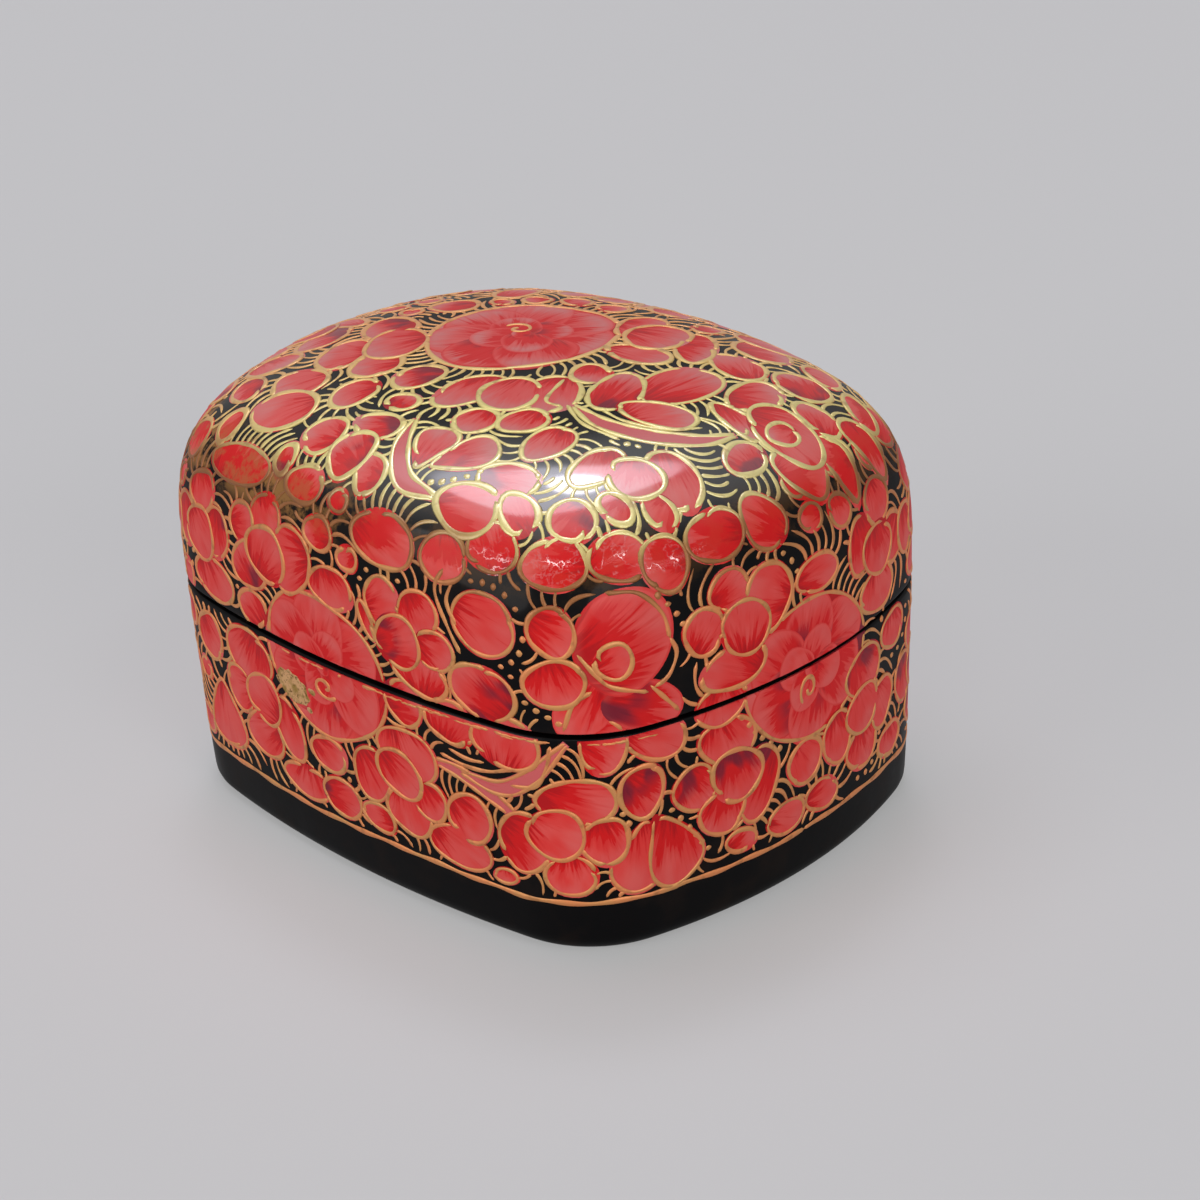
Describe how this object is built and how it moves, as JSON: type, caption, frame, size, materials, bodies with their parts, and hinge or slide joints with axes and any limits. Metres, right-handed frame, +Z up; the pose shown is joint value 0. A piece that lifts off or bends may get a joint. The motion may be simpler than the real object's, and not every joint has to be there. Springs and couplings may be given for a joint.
{
  "type": "papier mache box",
  "caption": "Small lidded keepsake box of painted papier mache: bowed rectangular base with an inner neck strip and a loose domed lid that lifts off.",
  "frame": {"origin": "centre of the box's outline, in the plane it stands on", "axes": "+X along the longer side, +Y along the shorter side, +Z up, the way the lid lifts"},
  "size_m": [0.0762, 0.062, 0.0508],
  "materials": {
    "painted_shell": "coral and crimson flowers with gold line on black ground under gloss varnish",
    "black_lacquer": "satin black lacquer on board",
    "gold_paint": "bronze gold paint line, slightly raised"
  },
  "bodies": {
    "base": {"base_wall": "painted_shell", "base_floor": "black_lacquer", "inner_collar": "black_lacquer"},
    "lid": {"lid_wall": "painted_shell", "lid_crown": "painted_shell"}
  },
  "joints": [
    {"name": "lid_lift", "type": "slide", "parent": "base", "child": "lid", "axis": [0, 0, 1], "range_m": [0, 0.06]}
  ]
}
